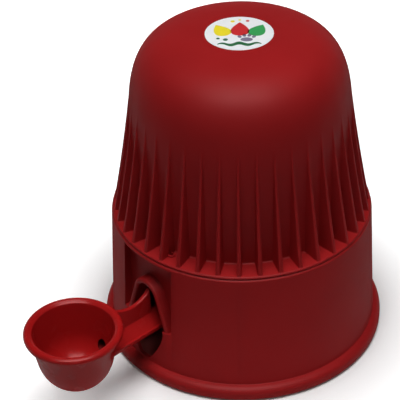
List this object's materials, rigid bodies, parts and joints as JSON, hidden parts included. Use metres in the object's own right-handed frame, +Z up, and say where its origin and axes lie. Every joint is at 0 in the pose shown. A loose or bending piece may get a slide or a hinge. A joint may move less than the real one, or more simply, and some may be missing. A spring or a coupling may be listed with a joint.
{
  "type": "gravity pet water dispenser",
  "caption": "Round gravity-fed pet water dispenser: ribbed lift-off hood over an inverted tank, base with a window, and a drinking cup on a side arm.",
  "frame": {"origin": "centre of the tray's sump underside, where the base's axis of revolution meets the floor", "axes": "+Z up along the axis of the base, tank and hood; -Y towards the cup; X to the sides"},
  "size_m": [0.25, 0.3565, 0.2863],
  "materials": {
    "red_shell": "fine matt moulded polypropylene, deep red",
    "red_tray": "matt moulded polypropylene, deep red",
    "clear_tank": "translucent natural plastic",
    "white_plastic": "satin white moulded plastic",
    "silicone": "grey food-grade silicone",
    "rubber": "black matt rubber",
    "steel": "stainless steel",
    "label": null
  },
  "bodies": {
    "base": {"base_skirt": "red_shell", "water_tray": "red_tray", "tray_screw_1": "steel", "tray_screw_2": "steel", "tray_screw_3": "steel", "tray_screw_4": "steel", "rubber_foot_1": "rubber", "rubber_foot_2": "rubber", "rubber_foot_3": "rubber", "rubber_foot_4": "rubber"},
    "cup": {"cup_arm": "red_shell", "spigot_seal": "rubber"},
    "tank": {"tank_shell": "clear_tank", "tank_cap": "white_plastic", "cap_gasket": "silicone"},
    "valve": {"valve_stem": "white_plastic", "valve_seal": "silicone", "stem_retainer": "white_plastic", "valve_spring": "steel"},
    "hood": {"hood_shell": "red_shell", "label_disc": "label"}
  },
  "joints": [
    {"name": "cup_pull", "type": "slide", "parent": "base", "child": "cup", "axis": [0, -1, 0], "range_m": [0, 0.08]},
    {"name": "tank_lift", "type": "slide", "parent": "base", "child": "tank", "axis": [0, 0, 1], "range_m": [0, 0.12]},
    {"name": "valve_slide", "type": "slide", "parent": "tank", "child": "valve", "axis": [0, 0, 1], "range_m": [-0.006, 0], "deforming": ["valve_spring"]},
    {"name": "hood_lift", "type": "slide", "parent": "tank", "child": "hood", "axis": [0, 0, 1], "range_m": [0, 0.15]}
  ],
  "couplings": [
    {"joint": "valve_slide", "follows": "tank_lift", "ratio": -0.05}
  ]
}
